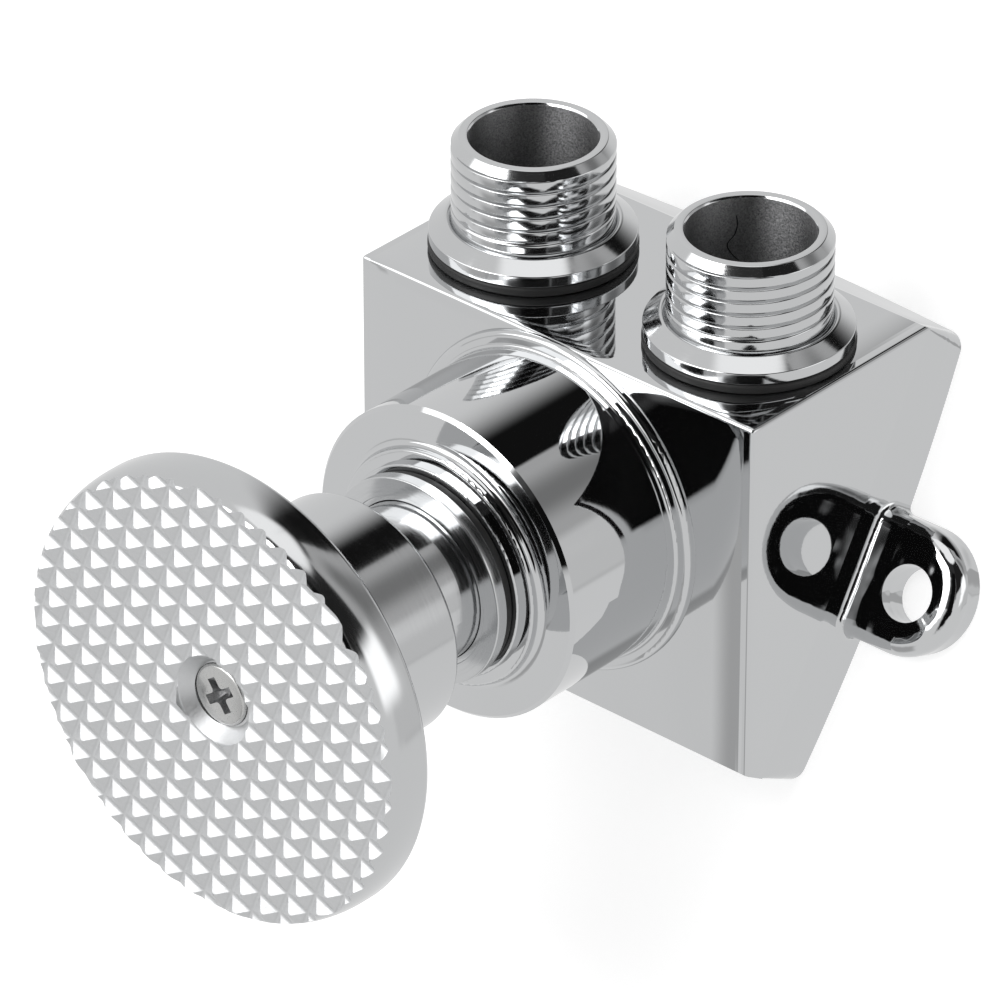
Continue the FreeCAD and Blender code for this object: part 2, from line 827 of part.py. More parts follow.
def make_pedal():
    body = new_body("pedal")
    back_radius = size.pedal_diameter / 2
    front_radius = size.pedal_front_diameter / 2
    hub = size.hub_diameter / 2
    socket = size.plunger_diameter / 2 + size.hub_clearance
    screw_hole = size.screw_diameter / 2 + size.hub_clearance
    root = size.hub_root_radius
    turn_profile(body, "disc_and_hub", [
        (screw_hole, pedal_face),
        (front_radius - size.pedal_edge, pedal_face, size.pedal_edge, 1),
        (front_radius, pedal_face + size.pedal_edge),
        (back_radius, disc_back),
        (hub + root, disc_back, root, -1),
        (hub, disc_back + root),
        (hub, hub_end - size.hub_edge, size.hub_edge, 1),
        (hub - size.hub_edge, hub_end),
        (socket, hub_end),
        (socket, plunger_start),
        (screw_hole, plunger_start),
    ])

    # crossed grooves that leave a pyramid in each square of the knurl
    for name, quarter in (("knurl_first", 0), ("knurl_second", 90)):
        angle = size.knurl_angle + quarter
        grooves = new_sketch(body, name + "_grooves", "XY_Plane", (0, 0, 0), (0, 1, 0), angle)
        top_half = (size.knurl_pitch - size.knurl_tip) / 2
        floor_half = size.knurl_valley / 2
        rows = int(size.pedal_front_diameter.number / (2 * size.knurl_pitch.number)) + 1
        for row in range(-rows, rows):
            middle = size.knurl_pitch * (row + 0.5)
            draw_loop(grooves, [
                (middle - top_half, pedal_face),
                (middle - floor_half, pedal_face + size.knurl_depth),
                (middle + floor_half, pedal_face + size.knurl_depth),
                (middle + top_half, pedal_face),
            ])
        extrude(body, name, grooves, size.pedal_diameter * 2, cut=True, symmetric=True)

    # smooth conical dish, a little out of the middle, and the recess for the screw's head in it
    recess = size.screw_recess_diameter / 2
    knurl_floor = pedal_face + size.knurl_depth
    turn_profile(body, "screw_recess", [
        (ZERO, pedal_face),
        (recess, pedal_face),
        (recess, screw_seat),
        (ZERO, screw_seat),
    ], cut=True)
    turn_profile(body, "screw_dish", [
        (ZERO, pedal_face),
        (size.dish_diameter / 2, pedal_face),
        (size.dish_diameter / 2, knurl_floor),
        (recess, knurl_floor + size.dish_depth),
        (ZERO, knurl_floor + size.dish_depth),
    ], cut=True, shift=(size.dish_offset_x, 0, size.dish_offset_z))


def make_pedal_screw():
    body = new_body("pedal_screw")
    head = size.screw_head_diameter / 2
    shank = size.screw_diameter / 2
    head_top = screw_seat - size.screw_head_height
    tip = screw_seat + size.screw_length
    turn_profile(body, "screw", [
        (ZERO, head_top),
        (head - size.screw_head_edge, head_top),
        (head, head_top + size.screw_head_edge),
        (head, screw_seat),
        (shank, screw_seat),
        (shank, tip),
        (ZERO, tip),
    ])
    for name, quarter in (("cross_first", 0), ("cross_second", 90)):
        slot = new_sketch(body, name + "_outline", "XZ_Plane", (0, 0, -head_top),
                          (0, 0, 1), size.cross_angle + quarter)
        long_half = size.cross_length / 2
        half = size.cross_width / 2
        draw_loop(slot, [
            (-long_half, -half), (long_half, -half), (long_half, half), (-long_half, half),
        ])
        extrude(body, name, slot, size.cross_depth, cut=True)


# Nipples, drawn about their own upright axis with the casting's top face at height zero

def make_nipple(name):
    body = new_body(name)
    thread = size.thread_diameter / 2
    tip = size.nipple_tip_diameter / 2
    mouth = size.nipple_mouth / 2
    bore = size.nipple_bore / 2
    flange = size.flange_diameter / 2
    cone = size.cone_top_diameter / 2
    relief = size.relief_diameter / 2
    spigot = size.spigot_diameter / 2
    flange_bottom = size.seal_thickness
    flange_top = flange_bottom + size.flange_thickness
    cone_top = flange_top + size.flange_cone
    turn_profile(body, "nipple", [
        (size.spigot_bore / 2, -size.spigot_length),
        (spigot, -size.spigot_length),
        (spigot, flange_bottom),
        (flange, flange_bottom),
        (flange, flange_top),
        (cone, cone_top),
        (relief, cone_top),
        (relief, cone_top + size.relief_height),
        (thread, cone_top + size.relief_height),
        (thread, size.nipple_height - size.nipple_tip_height),
        (tip, size.nipple_height),
        (mouth, size.nipple_height),
        (bore, size.nipple_height - size.nipple_mouth_depth),
        (bore, size.bore_step_height),
        (size.spigot_bore / 2, size.bore_step_height),
    ], plane="XZ_Plane")
    return body


def make_nipple_seal(name):
    body = new_body(name)
    rounding = size.seal_thickness * RUBBER_ROUNDING
    inner = size.seal_inner_diameter / 2
    outer = size.seal_outer_diameter / 2
    section = ring_section(inner, outer, ZERO, size.seal_thickness, rounding)
    turn_profile(body, "seal", section, plane="XZ_Plane")
    return body


# Placement on the mounting face

def place(piece, x, y, z, own_turn=0.0):
    """Puts a piece's own origin at a point of the valve's axes and tilts it with the valve."""
    tilt = FreeCAD.Rotation(FreeCAD.Vector(1, 0, 0), size.mount_tilt.number - 90)
    piece.Placement = FreeCAD.Placement(FreeCAD.Vector(0, 0, 0), tilt)
    bind(piece, "Placement.Base.x", x)
    bind(piece, "Placement.Base.y", along_slope(y, z))
    bind(piece, "Placement.Base.z", above_mount(y, z))
    bind(piece, "Placement.Rotation.Angle", size.mount_tilt - 90 + own_turn)


def build():
    make_valve_body()
    make_gland_bush()
    make_ring("gland_seal", size.gland_seal_inner, size.gland_seal_outer, gland_back, lip_face,
              size.gland_seal_thickness * RUBBER_ROUNDING)
    make_plunger()
    make_ring("spring_washer", size.rod_diameter + size.washer_clearance * 2, size.washer_diameter,
              plunger_end, plunger_end + size.washer_thickness)
    make_return_spring()
    make_seat_insert()
    make_ring("seat_gasket", size.seat_thread_diameter + size.washer_clearance, size.seat_flange_diameter,
              seat_flange_back, seat_shoulder)
    make_ring("poppet_disc", size.rod_diameter + size.poppet_clearance * 2, size.poppet_disc_diameter,
              seat_face, rod_shoulder)
    make_poppet_cup()
    make_ring("poppet_washer", size.rod_thread_diameter + size.washer_clearance,
              size.poppet_washer_diameter, cup_back, poppet_washer_back)
    make_poppet_nut()
    make_pedal()
    make_pedal_screw()
    pieces = [item for item in doc.Objects if item.TypeId == "PartDesign::Body"]
    for piece in pieces:
        place(piece, ZERO, ZERO, ZERO)

    for name, number in (("plunger_ring_outer", 0), ("plunger_ring_inner", 1)):
        ring, station = make_plunger_ring(name, number)
        place(ring, ZERO, station, ZERO, own_turn=90.0)
        pieces.append(ring)

    for name, side in (("inlet_nipple", -1), ("outlet_nipple", 1)):
        for piece in (make_nipple(name), make_nipple_seal(name + "_seal")):
            place(piece, size.nipple_spread * side, size.nipple_setback, top_z)
            pieces.append(piece)
    doc.recompute()
    return pieces


def write_pieces(pieces):
    broken = [item.Label for item in doc.Objects if "Invalid" in item.State or "Error" in item.State]
    if broken:
        raise RuntimeError("failed objects: " + ", ".join(broken))
    os.makedirs("parts", exist_ok=True)
    for piece in pieces:
        if piece.Shape.isNull() or not piece.Shape.isValid():
            raise RuntimeError("bad shape: " + piece.Label)
        piece.Shape.exportStep(f"parts/{piece.Label}.step")
        print(f"{piece.Label}: {len(piece.Shape.Solids)} solid, {piece.Shape.Volume:.0f} mm3")


write_pieces(build())
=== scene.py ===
import math

import bmesh
import bpy
from mathutils import Matrix, Vector


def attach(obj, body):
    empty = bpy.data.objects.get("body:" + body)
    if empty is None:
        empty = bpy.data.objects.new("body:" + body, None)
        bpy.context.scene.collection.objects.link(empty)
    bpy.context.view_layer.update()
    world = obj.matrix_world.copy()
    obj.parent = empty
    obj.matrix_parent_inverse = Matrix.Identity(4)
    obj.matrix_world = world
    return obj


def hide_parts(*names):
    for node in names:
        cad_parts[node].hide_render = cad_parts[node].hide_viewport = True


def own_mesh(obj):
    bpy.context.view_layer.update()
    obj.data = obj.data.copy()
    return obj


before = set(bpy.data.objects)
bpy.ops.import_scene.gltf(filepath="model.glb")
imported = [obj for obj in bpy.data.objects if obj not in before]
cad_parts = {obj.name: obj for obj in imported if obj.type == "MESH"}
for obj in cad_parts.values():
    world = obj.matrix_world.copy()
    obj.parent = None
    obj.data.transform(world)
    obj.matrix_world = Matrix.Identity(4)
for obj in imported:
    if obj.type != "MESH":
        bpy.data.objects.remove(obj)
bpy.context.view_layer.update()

# All lengths below are in millimetres on the valve's own axes: Y along the barrel from the pedal
# into the casting, Z up along the nipples, origin on the barrel's axis at the casting's front.
MM = 0.001
MOUNT_TILT = math.radians(31.0)
MOUNT_REACH = 30.0
EAR_DROP = 10.4

NIPPLE_SPREAD = 17.9
NIPPLE_SETBACK = 16.4
TOP_FACE = 23.0

# Where the valve's origin lies on the part's axes, and the whole step from the valve's axes to the
# part's frame, which is in metres.
ORIGIN_ALONG = EAR_DROP - MOUNT_REACH * math.sin(MOUNT_TILT)
ORIGIN_HEIGHT = MOUNT_REACH * math.cos(MOUNT_TILT)
VALVE_AXES = (
    Matrix.Scale(MM, 4)
    @ Matrix.Translation((0, ORIGIN_ALONG, ORIGIN_HEIGHT))
    @ Matrix.Rotation(MOUNT_TILT - math.radians(90), 4, "X")
)
BARREL_FOOT = VALVE_AXES @ Vector((0, 0, 0))
ACROSS = Vector((1, 0, 0))
BARREL_DIRECTION = (VALVE_AXES.to_3x3() @ Vector((0, 1, 0))).normalized()
NIPPLE_DIRECTION = (VALVE_AXES.to_3x3() @ Vector((0, 0, 1))).normalized()


# Materials

def hex_colour(code):
    """sRGB hex code as linear red, green, blue and full opacity."""
    values = [int(code[place:place + 2], 16) / 255 for place in (1, 3, 5)]
    linear = [value / 12.92 if value <= 0.04045 else ((value + 0.055) / 1.055) ** 2.4 for value in values]
    return (*linear, 1.0)


def add_node(tree, kind, settings=None, inputs=None):
    """Adds a node with its settings. Each input gets a value, or is linked to a socket or to the first
    output of another node that is in use."""
    node = tree.nodes.new(kind)
    for name, value in (settings or {}).items():
        setattr(node, name, value)
    for name, value in (inputs or {}).items():
        if isinstance(value, bpy.types.Node):
            value = next(output for output in value.outputs if output.enabled)
        if isinstance(value, bpy.types.NodeSocket):
            tree.links.new(value, node.inputs[name])
        else:
            node.inputs[name].default_value = value
    return node


def make_material(name, finish, **details):
    """Material with one of the finishes below. From the surface's points in metres and its details, a
    finish works out what goes into the shader."""
    material = bpy.data.materials.new(name)
    material.use_nodes = True
    tree = material.node_tree
    tree.nodes.clear()
    point = add_node(tree, "ShaderNodeTexCoord").outputs["Object"]
    shader = add_node(tree, "ShaderNodeBsdfPrincipled", inputs=finish(tree, point, **details))
    add_node(tree, "ShaderNodeOutputMaterial", inputs={"Surface": shader})
    return material


def per_mm(feature):
    """Scale of a noise over metres whose blotches are about this many millimetres across."""
    return 1 / (feature * MM)


# The part of a noise's values that holds nearly all of a surface.
NOISE_RANGE = {"From Min": 0.3, "From Max": 0.7}


def along_line(tree, point, foot, direction):
    """Place of each surface point along a straight line from its foot, in metres."""
    arm = add_node(tree, "ShaderNodeVectorMath", {"operation": "SUBTRACT"}, {0: point, 1: foot})
    return add_node(tree, "ShaderNodeVectorMath", {"operation": "DOT_PRODUCT"}, {0: arm, 1: direction})


def turning_marks(tree, point, foot, direction, pitch):
    """Rings left by a lathe tool: noise that changes only with the distance from the axis of turning and
    with the place along it. A tool leaves them about 0.1 mm apart, which is too fine to show, so their
    pitch is two to four times that."""
    arm = add_node(tree, "ShaderNodeVectorMath", {"operation": "SUBTRACT"}, {0: point, 1: foot})
    across = add_node(tree, "ShaderNodeVectorMath", {"operation": "CROSS_PRODUCT"}, {0: arm, 1: direction})
    radius = add_node(tree, "ShaderNodeVectorMath", {"operation": "LENGTH"}, {0: across})
    along = along_line(tree, point, foot, direction)
    rings = add_node(tree, "ShaderNodeCombineXYZ", inputs={"X": radius, "Y": along})
    return add_node(tree, "ShaderNodeTexNoise", inputs={
        "Vector": rings, "Scale": per_mm(pitch), "Detail": 3.0, "Roughness": 0.7,
    })


def margin(tree, value, start, end):
    """0 up to a start, then rising ever faster to 1 at an end, both in millimetres."""
    share = add_node(tree, "ShaderNodeMapRange", inputs={
        "Value": value, "From Min": start * MM, "From Max": end * MM,
    })
    return add_node(tree, "ShaderNodeMath", {"operation": "MULTIPLY"}, {0: share, 1: share})


def only_beyond(tree, pattern, out, start, end):
    """Pattern that fades in between two distances from the middle plane, in millimetres."""
    share = add_node(tree, "ShaderNodeMapRange", inputs={
        "Value": out, "From Min": start * MM, "From Max": end * MM,
    })
    return add_node(tree, "ShaderNodeMath", {"operation": "MULTIPLY"}, {0: pattern, 1: share})


# How far in from its sides, and from the edges of its top and front, the buffing wheel took the casting
# down, and how deep.
BODY_HALF_WIDTH = 31.0
SIDE_MARGIN = 4.5
SIDE_ROLL = 0.30
EDGE_MARGIN = 2.2
EDGE_ROLL = 0.12
# The sides flare out towards the floor. From the first to the second distance from the middle plane the
# flare comes in, so that it stays on the sides.
FLARE_FROM = (30.5, 31.5)
FLARE_TOP = 20.0
FLARE_FOOT = 3.0
FLARE_REACH = 0.3
# The ears, which begin between these distances from the middle plane, kept the casting's dents.
EARS_FROM = (33.0, 37.0)
# What is uneven in the casting and its plating: how wide each kind is, and how deep where it has relief.
HAZE_WIDTH = 14.0
BUFF_WAVE_WIDTH = 22.0
BUFF_WAVE_DEPTH = 0.10
DENT_WIDTH = 7.0
DENT_DEPTH = 0.9
PEEL_WIDTH = 0.9
PEEL_DEPTH = 0.0012


def polished_chrome(tree, point):
    """Chrome plating on buffed cast brass: a cool grey mirror, a little wavy where the buff ran over the
    casting and wavier on the ears, rolled off towards its edges and flared towards the foot, with faint
    hazy patches that show only in the reflections, and with the plating's orange peel."""
    haze, buff_waves, dents, peel = [
        add_node(tree, "ShaderNodeTexNoise", inputs={
            "Vector": point, "Scale": per_mm(feature), "Detail": detail,
        })
        for feature, detail in (
            (HAZE_WIDTH, 3.0), (BUFF_WAVE_WIDTH, 1.0), (DENT_WIDTH, 1.5), (PEEL_WIDTH, 2.0),
        )
    ]
    place = add_node(tree, "ShaderNodeSeparateXYZ", inputs={"Vector": point})
    out = add_node(tree, "ShaderNodeMath", {"operation": "ABSOLUTE"}, {0: place.outputs["X"]})
    up = along_line(tree, point, BARREL_FOOT, NIPPLE_DIRECTION)
    forward = along_line(tree, point, BARREL_FOOT, -BARREL_DIRECTION)
    flare = margin(tree, place.outputs["Z"], FLARE_TOP, FLARE_FOOT)
    normal = {}
    for height, depth in (
        (buff_waves, BUFF_WAVE_DEPTH),
        (margin(tree, out, BODY_HALF_WIDTH - SIDE_MARGIN, BODY_HALF_WIDTH), -SIDE_ROLL),
        (margin(tree, up, TOP_FACE - EDGE_MARGIN, TOP_FACE), -EDGE_ROLL),
        (margin(tree, forward, -EDGE_MARGIN, 0.0), -EDGE_ROLL),
        (only_beyond(tree, flare, out, *FLARE_FROM), FLARE_REACH),
        (only_beyond(tree, dents, out, *EARS_FROM), DENT_DEPTH),
        (peel, PEEL_DEPTH),
    ):
        relief = add_node(tree, "ShaderNodeBump", inputs={"Height": height, "Distance": depth * MM, **normal})
        normal = {"Normal": relief}
    return {
        "Base Color": hex_colour("#CDCECF"),
        "Metallic": 1.0,
        "Roughness": add_node(tree, "ShaderNodeMapRange", inputs={
            "Value": haze, **NOISE_RANGE, "To Min": 0.02, "To Max": 0.05,
        }),
        **normal,
    }


def turned_chrome(tree, point, foot, direction, pitch, depth, roughness):
    """Chrome plating over a lathe-turned surface: the tool's fine rings stay as faint lines that draw the
    highlights out across the turning. The rings' pitch and depth are in millimetres."""
    rings = turning_marks(tree, point, foot, direction, pitch)
    return {
        "Base Color": hex_colour("#CBCCCD"),
        "Metallic": 1.0,
        "Roughness": add_node(tree, "ShaderNodeMapRange", inputs={
            "Value": rings, **NOISE_RANGE, "To Min": roughness * 0.7, "To Max": roughness * 1.3,
        }),
        "Normal": add_node(tree, "ShaderNodeBump", inputs={"Height": rings, "Distance": depth * MM}),
    }


def satin_chrome(tree, point):
    """Chrome plating over ground brass: a soft sheen with fine rings round the barrel's axis, so that
    reflections keep their edges but lose their sharpness."""
    return turned_chrome(
        tree, point, BARREL_FOOT, BARREL_DIRECTION, pitch=0.4, depth=0.0012, roughness=0.11,
    )


def knurled_chrome(tree, point):
    """Chrome plating over pressed pyramids: bright flanks with a slight grain from the die, and edges
    that catch the light. A die's grain is under 0.1 mm, which is too fine to show, so it is drawn wider."""
    grain = add_node(tree, "ShaderNodeTexNoise", inputs={
        "Vector": point, "Scale": per_mm(0.35), "Detail": 3.0, "Roughness": 0.6,
    })
    return {
        "Base Color": hex_colour("#D2D3D4"),
        "Metallic": 1.0,
        "Roughness": add_node(tree, "ShaderNodeMapRange", inputs={
            "Value": grain, **NOISE_RANGE, "To Min": 0.40, "To Max": 0.52,
        }),
        "Normal": add_node(tree, "ShaderNodeBump", inputs={"Height": grain, "Distance": 0.02 * MM}),
    }


# Hairline in the outlet nipple's bore: heights over the casting's top face, in millimetres, and the
# angles round the nipple, in degrees from +X towards the back. Its edges soften over a share of its
# width, and its ends fade out over a length.
HAIRLINE = ((6.7, 139.5), (8.3, 148.5), (9.3, 150.6), (10.7, 143.8), (13.4, 143.0))
HAIRLINE_WIDTH = 0.16
HAIRLINE_SOFTNESS = 0.4
HAIRLINE_FADE = 0.3
BORE_RADIUS = 8.2
HALF_TURN = math.radians(180)


def hairline_mask(tree, point, foot):
    """1 on a fine crooked line on a bore's wall, and 0 beside it."""
    across, inwards, height = [
        along_line(tree, point, foot, axis) for axis in (ACROSS, BARREL_DIRECTION, NIPPLE_DIRECTION)
    ]
    turn = add_node(tree, "ShaderNodeMath", {"operation": "ARCTAN2"}, {0: inwards, 1: across})
    lowest, highest = HAIRLINE[0][0] * MM, HAIRLINE[-1][0] * MM
    share = add_node(tree, "ShaderNodeMapRange", inputs={
        "Value": height, "From Min": lowest, "From Max": highest,
    })
    path = add_node(tree, "ShaderNodeFloatCurve", inputs={"Value": share})
    points = path.mapping.curves[0].points
    for number, (station, angle) in enumerate(HAIRLINE):
        place = ((station * MM - lowest) / (highest - lowest), math.radians(angle) / HALF_TURN)
        if number in (0, len(HAIRLINE) - 1):
            points[0 if number == 0 else -1].location = place
        else:
            points.new(*place)
    path.mapping.update()
    wanted = add_node(tree, "ShaderNodeMath", {"operation": "MULTIPLY"}, {0: path, 1: HALF_TURN})
    off = add_node(tree, "ShaderNodeMath", {"operation": "SUBTRACT"}, {0: turn, 1: wanted})
    off = add_node(tree, "ShaderNodeMath", {"operation": "ABSOLUTE"}, {0: off})
    reach = HAIRLINE_WIDTH / 2 / BORE_RADIUS
    beside = add_node(tree, "ShaderNodeMapRange", inputs={
        "Value": off, "To Min": 1.0, "To Max": 0.0,
        "From Min": reach * (1 - HAIRLINE_SOFTNESS), "From Max": reach * (1 + HAIRLINE_SOFTNESS),
    })
    over_foot = add_node(tree, "ShaderNodeMapRange", inputs={
        "Value": height, "From Min": lowest, "From Max": lowest + HAIRLINE_FADE * MM,
    })
    under_top = add_node(tree, "ShaderNodeMapRange", inputs={
        "Value": height, "From Min": highest - HAIRLINE_FADE * MM, "From Max": highest,
        "To Min": 1.0, "To Max": 0.0,
    })
    within = add_node(tree, "ShaderNodeMath", {"operation": "MULTIPLY"}, {0: over_foot, 1: under_top})
    return add_node(tree, "ShaderNodeMath", {"operation": "MULTIPLY"}, {0: beside, 1: within})


def cast_bore(tree, point, hairline_foot=None):
    """Unplated brass inside the bores, as the drill and the plating bath left it: dull and grainy, and a
    darker grey than the chrome, which is partly its own dull finish and partly painted shade of the deep
    bore. On the screw's cross recess the same dark grey is painted shade. The wall has a hairline where
    the foot of the nipple is given. The drill's rings are too fine to draw, so the anisotropy stands for
    them: it draws the glints out along the bore. The bath's grain is finer than 0.1 mm, and is drawn
    wider so that it shows."""
    grain = add_node(tree, "ShaderNodeTexNoise", inputs={
        "Vector": point, "Scale": per_mm(0.24), "Detail": 3.0, "Roughness": 0.7,
    })
    share = add_node(tree, "ShaderNodeMapRange", inputs={"Value": grain, **NOISE_RANGE})
    # Grain varies the grey. The grey is darker than the chrome all over: partly the bore's own dull finish,
    # partly painted shade.
    grain_and_painted_shade = add_node(tree, "ShaderNodeMix", {"data_type": "RGBA"}, {
        "Factor": share, "A": hex_colour("#747576"), "B": hex_colour("#B4B4B5"),
    })
    if hairline_foot:
        grain_and_painted_shade = add_node(tree, "ShaderNodeMix", {"data_type": "RGBA"}, {
            "Factor": hairline_mask(tree, point, hairline_foot), "A": grain_and_painted_shade, "B": hex_colour("#202020"),
        })
    return {
        "Base Color": grain_and_painted_shade,
        "Metallic": 1.0,
        "Roughness": add_node(tree, "ShaderNodeMapRange", inputs={
            "Value": grain, **NOISE_RANGE, "To Min": 0.36, "To Max": 0.54,
        }),
        "Anisotropic": 0.8,
        "Tangent": add_node(tree, "ShaderNodeCombineXYZ", inputs=dict(zip("XYZ", NIPPLE_DIRECTION))),
        "Normal": add_node(tree, "ShaderNodeBump", inputs={"Height": grain, "Distance": 0.05 * MM}),
    }


def moulded_rubber(tree, point):
    """Moulded nitrile rubber: almost black, with a soft low sheen and a dusty bloom in patches. The
    mould's grain is under 0.1 mm, which is too fine to show, so it is drawn wider."""
    bloom = add_node(tree, "ShaderNodeTexNoise", inputs={
        "Vector": point, "Scale": per_mm(3.0), "Detail": 4.0,
    })
    skin = add_node(tree, "ShaderNodeTexNoise", inputs={"Vector": point, "Scale": per_mm(0.3)})
    return {
        "Base Color": add_node(tree, "ShaderNodeMix", {"data_type": "RGBA"}, {
            "Factor": bloom, "A": hex_colour("#0C0C0C"), "B": hex_colour("#191919"),
        }),
        "Roughness": add_node(tree, "ShaderNodeMapRange", inputs={
            "Value": bloom, **NOISE_RANGE, "To Min": 0.45, "To Max": 0.62,
        }),
        "Normal": add_node(tree, "ShaderNodeBump", inputs={"Height": skin, "Distance": 0.006 * MM}),
    }


def drawn_steel(tree, point):
    """Drawn and turned stainless steel: bright grey with a slight grain that dulls it in places. The real
    grain is under 0.05 mm, which is too fine to show, so it is drawn ten times as wide."""
    grain = add_node(tree, "ShaderNodeTexNoise", inputs={
        "Vector": point, "Scale": per_mm(0.5), "Detail": 4.0,
    })
    return {
        "Base Color": hex_colour("#C6C6C5"),
        "Metallic": 1.0,
        "Roughness": add_node(tree, "ShaderNodeMapRange", inputs={
            "Value": grain, **NOISE_RANGE, "To Min": 0.16, "To Max": 0.30,
        }),
        "Normal": add_node(tree, "ShaderNodeBump", inputs={"Height": grain, "Distance": 0.004 * MM}),
    }


def turned_brass(tree, point):
    """Bare turned brass: warm yellow with fine tool rings and a slightly darker tarnish in patches."""
    tarnish = add_node(tree, "ShaderNodeTexNoise", inputs={
        "Vector": point, "Scale": per_mm(4.0), "Detail": 3.0,
    })
    rings = turning_marks(tree, point, BARREL_FOOT, BARREL_DIRECTION, pitch=0.3)
    return {
        "Base Color": add_node(tree, "ShaderNodeMix", {"data_type": "RGBA"}, {
            "Factor": tarnish, "A": hex_colour("#D9B76C"), "B": hex_colour("#B8924A"),
        }),
        "Metallic": 1.0,
        "Roughness": add_node(tree, "ShaderNodeMapRange", inputs={
            "Value": tarnish, **NOISE_RANGE, "To Min": 0.20, "To Max": 0.36,
        }),
        "Normal": add_node(tree, "ShaderNodeBump", inputs={"Height": rings, "Distance": 0.004 * MM}),
    }


def pressed_fibre(tree, point):
    """Pressed vulcanised fibre: a matt red-brown sheet with short fibres in it, which are drawn some ten
    times as thick as real ones so that they show."""
    fibres = add_node(tree, "ShaderNodeTexNoise", inputs={
        "Vector": point, "Scale": per_mm(0.4), "Detail": 5.0, "Roughness": 0.7,
    })
    return {
        "Base Color": add_node(tree, "ShaderNodeMix", {"data_type": "RGBA"}, {
            "Factor": fibres, "A": hex_colour("#5E3224"), "B": hex_colour("#7C4A38"),
        }),
        "Roughness": 0.75,
        "Normal": add_node(tree, "ShaderNodeBump", inputs={"Height": fibres, "Distance": 0.02 * MM}),
    }


CHROME = make_material("polished_chrome_plating", polished_chrome)
SATIN = make_material("satin_chrome_plating", satin_chrome)
TURNED = make_material(
    "turned_chrome_plating", turned_chrome,
    foot=BARREL_FOOT, direction=BARREL_DIRECTION, pitch=0.3, depth=0.004, roughness=0.15,
)
KNURL = make_material("knurled_chrome_plating", knurled_chrome)
# The bores' dull metal is darker all over than the chrome: partly its own dull finish and partly painted
# shade of the deep bores. On the screw's cross recess it is painted shade.
BORE = make_material("dull_bored_metal_and_painted_shade", cast_bore)
MARKED_BORE = make_material(
    "dull_bored_metal_with_hairline", cast_bore,
    hairline_foot=VALVE_AXES @ Vector((NIPPLE_SPREAD, NIPPLE_SETBACK, TOP_FACE)),
)
RUBBER = make_material("moulded_nitrile_rubber", moulded_rubber)
STEEL = make_material("drawn_stainless_steel", drawn_steel)
BRASS = make_material("turned_bare_brass", turned_brass)
FIBRE = make_material("pressed_fibre", pressed_fibre)


# Making pieces

SHARP_ANGLE = math.radians(32)
FLAT_FACE_WEIGHT = 90


def cut_away(mesh_data, cutters):
    """Solid left after each cutter is taken out of a mesh. Faces keep their material numbers."""
    scratch = []
    for data in (mesh_data, *cutters):
        mesh = bpy.data.meshes.new("scratch")
        data.to_mesh(mesh)
        data.free()
        # Any two materials do here: without its slots a mesh would lose its faces' material numbers.
        for material in (CHROME, KNURL):
            mesh.materials.append(material)
        scratch.append(bpy.data.objects.new("scratch", mesh))
        bpy.context.scene.collection.objects.link(scratch[-1])
    solid = scratch[0]
    for cutter in scratch[1:]:
        taking = solid.modifiers.new("taking", "BOOLEAN")
        taking.operation = "DIFFERENCE"
        taking.solver = "EXACT"
        taking.object = cutter
    left = bmesh.new()
    left.from_object(solid, bpy.context.evaluated_depsgraph_get())
    for item in scratch:
        mesh = item.data
        bpy.data.objects.remove(item)
        bpy.data.meshes.remove(mesh)
    return left


def piece_from(mesh_data, name, materials, body, node):
    """Object in the part's frame that stands for a CAD node and rides on its body."""
    mesh = bpy.data.meshes.new(name)
    mesh_data.to_mesh(mesh)
    mesh_data.free()
    mesh.transform(VALVE_AXES)
    for material in materials:
        mesh.materials.append(material)
    mesh.polygons.foreach_set("use_smooth", [True] * len(mesh.polygons))
    mesh.set_sharp_from_angle(angle=SHARP_ANGLE)
    piece = bpy.data.objects.new(name, mesh)
    bpy.context.scene.collection.objects.link(piece)
    weighted = piece.modifiers.new("even_shading", "WEIGHTED_NORMAL")
    weighted.keep_sharp = True
    weighted.weight = FLAT_FACE_WEIGHT
    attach(piece, body)
    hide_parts(node)


def rounded(corners, steps=4):
    """Points of a section, with an arc at each corner that has a rounding. Each corner is
    (radius, station), (radius, station, rounding) or (radius, station, rounding, finish), where the
    finish is the material's number on the run that starts there."""
    points = []
    count = len(corners)
    for number, corner in enumerate(corners):
        here = Vector(corner[:2])
        rounding = corner[2] if len(corner) > 2 else 0.0
        finish = corner[3] if len(corner) > 3 else (points[-1][1] if points else 0)
        if not rounding:
            points.append((here, finish))
            continue
        before = (Vector(corners[number - 1][:2]) - here).normalized()
        after = (Vector(corners[(number + 1) % count][:2]) - here).normalized()
        opening = before.angle(after)
        setback = rounding / math.tan(opening / 2)
        centre = here + (before + after).normalized() * rounding / math.sin(opening / 2)
        start = (here + before * setback - centre).normalized()
        end = (here + after * setback - centre).normalized()
        for step in range(steps + 1):
            points.append((centre + rounding * start.slerp(end, step / steps), finish))
    return points


def lathe(corners, segments=192, upright=False):
    """Closed section of (radius, station) corners turned about the Y axis, or about Z where upright."""
    mesh = bmesh.new()
    points = rounded(corners)
    rings = []
    for point, finish in points:
        if point.x == 0:
            rings.append([mesh.verts.new((0, point.y, 0))] * segments)
            continue
        ring = []
        for segment in range(segments):
            angle = 2 * math.pi * segment / segments
            x, z = point.x * math.cos(angle), point.x * math.sin(angle)
            ring.append(mesh.verts.new((x, z, point.y) if upright else (x, point.y, z)))
        rings.append(ring)
    for number, (point, finish) in enumerate(points):
        first, second = rings[number], rings[(number + 1) % len(rings)]
        for segment in range(segments):
            following = (segment + 1) % segments
            face = dict.fromkeys((first[segment], first[following], second[following], second[segment]))
            if len(face) > 2:
                mesh.faces.new(face).material_index = finish
    bmesh.ops.recalc_face_normals(mesh, faces=mesh.faces)
    return mesh


